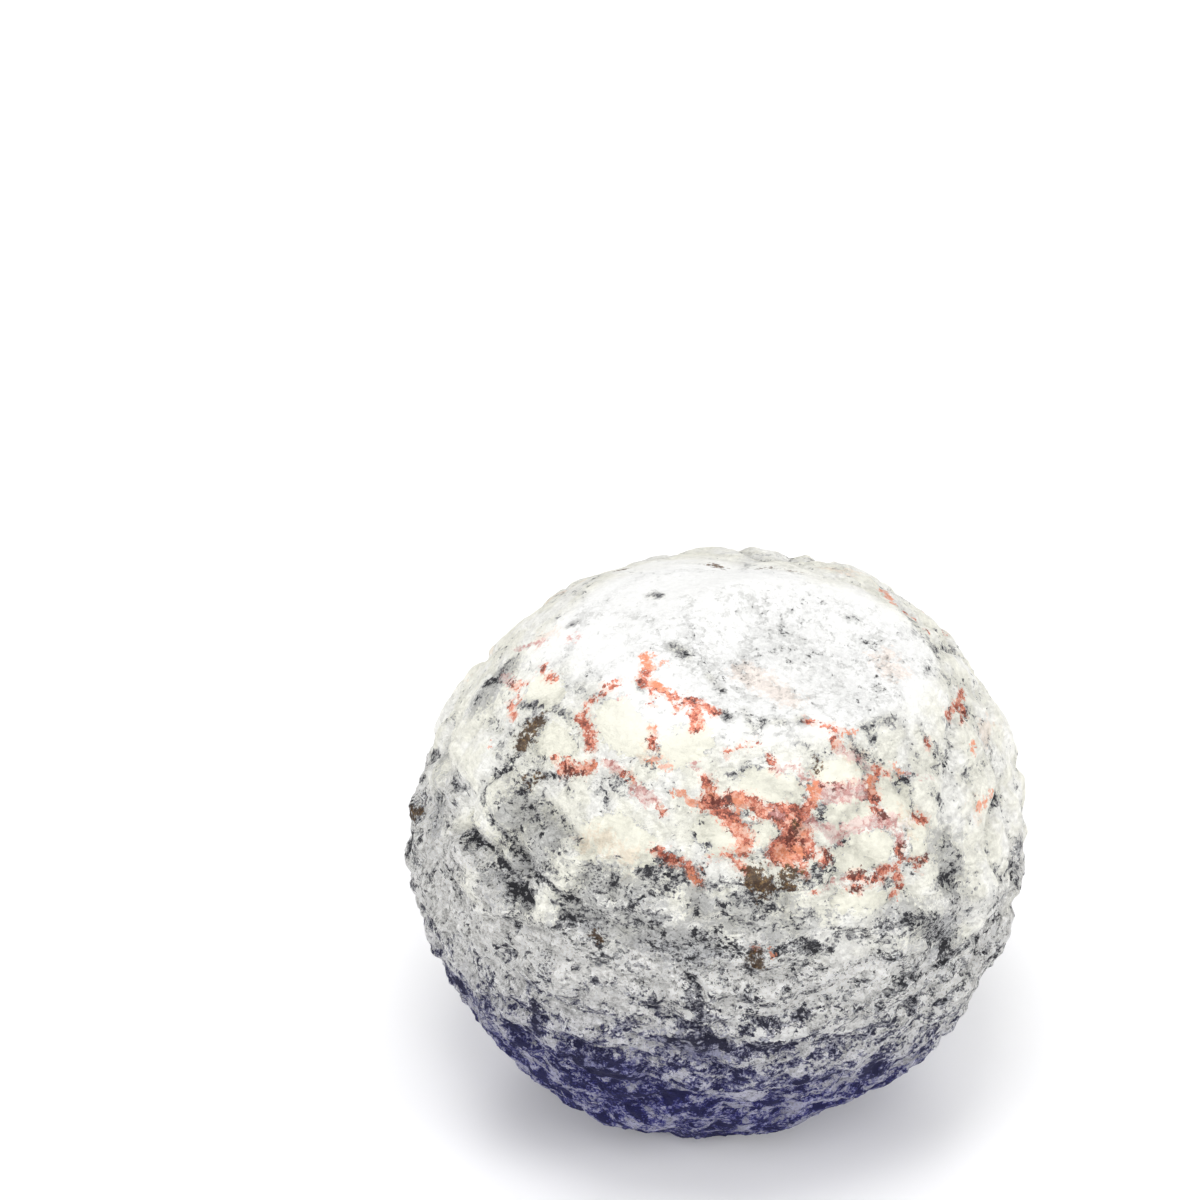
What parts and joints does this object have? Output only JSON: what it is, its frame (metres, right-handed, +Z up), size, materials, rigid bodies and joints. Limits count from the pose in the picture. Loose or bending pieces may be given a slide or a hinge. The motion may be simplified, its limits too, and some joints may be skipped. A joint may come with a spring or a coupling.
{
  "type": "coconut geode",
  "caption": "Whole, rounded rough stone nodule: smooth crown with a shallow dish, cobbled upper half, flat-lying slabs below and a small flat foot.",
  "frame": {"origin": "under the middle of the stone's bounding box, on the surface it stands on", "axes": "+Z up through the crown, +X to the right, -Y towards the front that the picture shows"},
  "size_m": [0.0992, 0.0956, 0.0917],
  "materials": {
    "rind": "rough, matte and chalky; cream and white above, grey with dark flecks below, rust-red veins"
  },
  "bodies": {
    "root": {"geode": "rind"}
  },
  "joints": []
}
